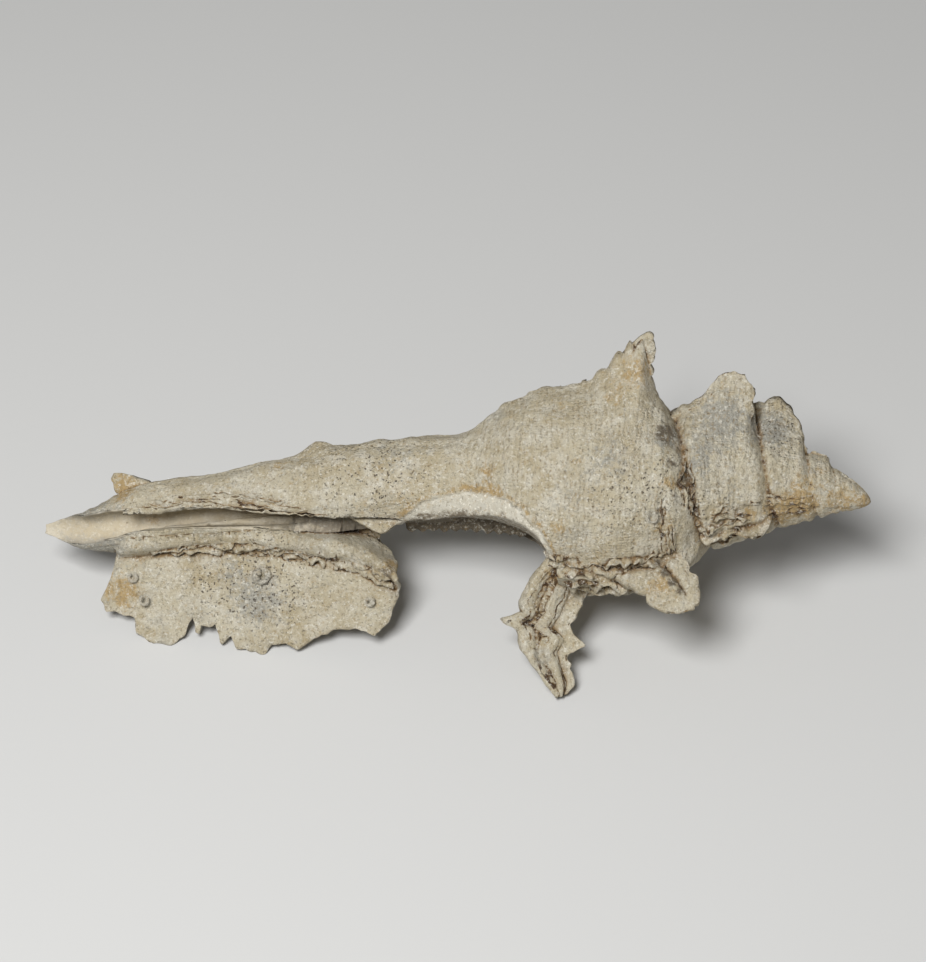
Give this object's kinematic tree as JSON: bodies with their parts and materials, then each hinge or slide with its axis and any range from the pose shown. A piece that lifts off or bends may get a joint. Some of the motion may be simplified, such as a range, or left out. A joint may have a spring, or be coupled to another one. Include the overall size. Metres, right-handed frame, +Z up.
{
  "type": "murex shell",
  "caption": "Weathered murex sea shell with a coiled spire, an open siphonal canal, a small aperture and jagged fins, lying on three of its fins.",
  "frame": {"origin": "centre of the bounding box at floor level", "axes": "+X from the tip of the canal towards the apex, +Z up as it lies, -Y on the side of the open canal and the outer lip"},
  "size_m": [0.0828, 0.0302, 0.0296],
  "materials": {
    "shell": "chalky, weathered off-white lime with grey and ochre stains"
  },
  "bodies": {
    "root": {"murex_shell": "shell"}
  },
  "joints": []
}
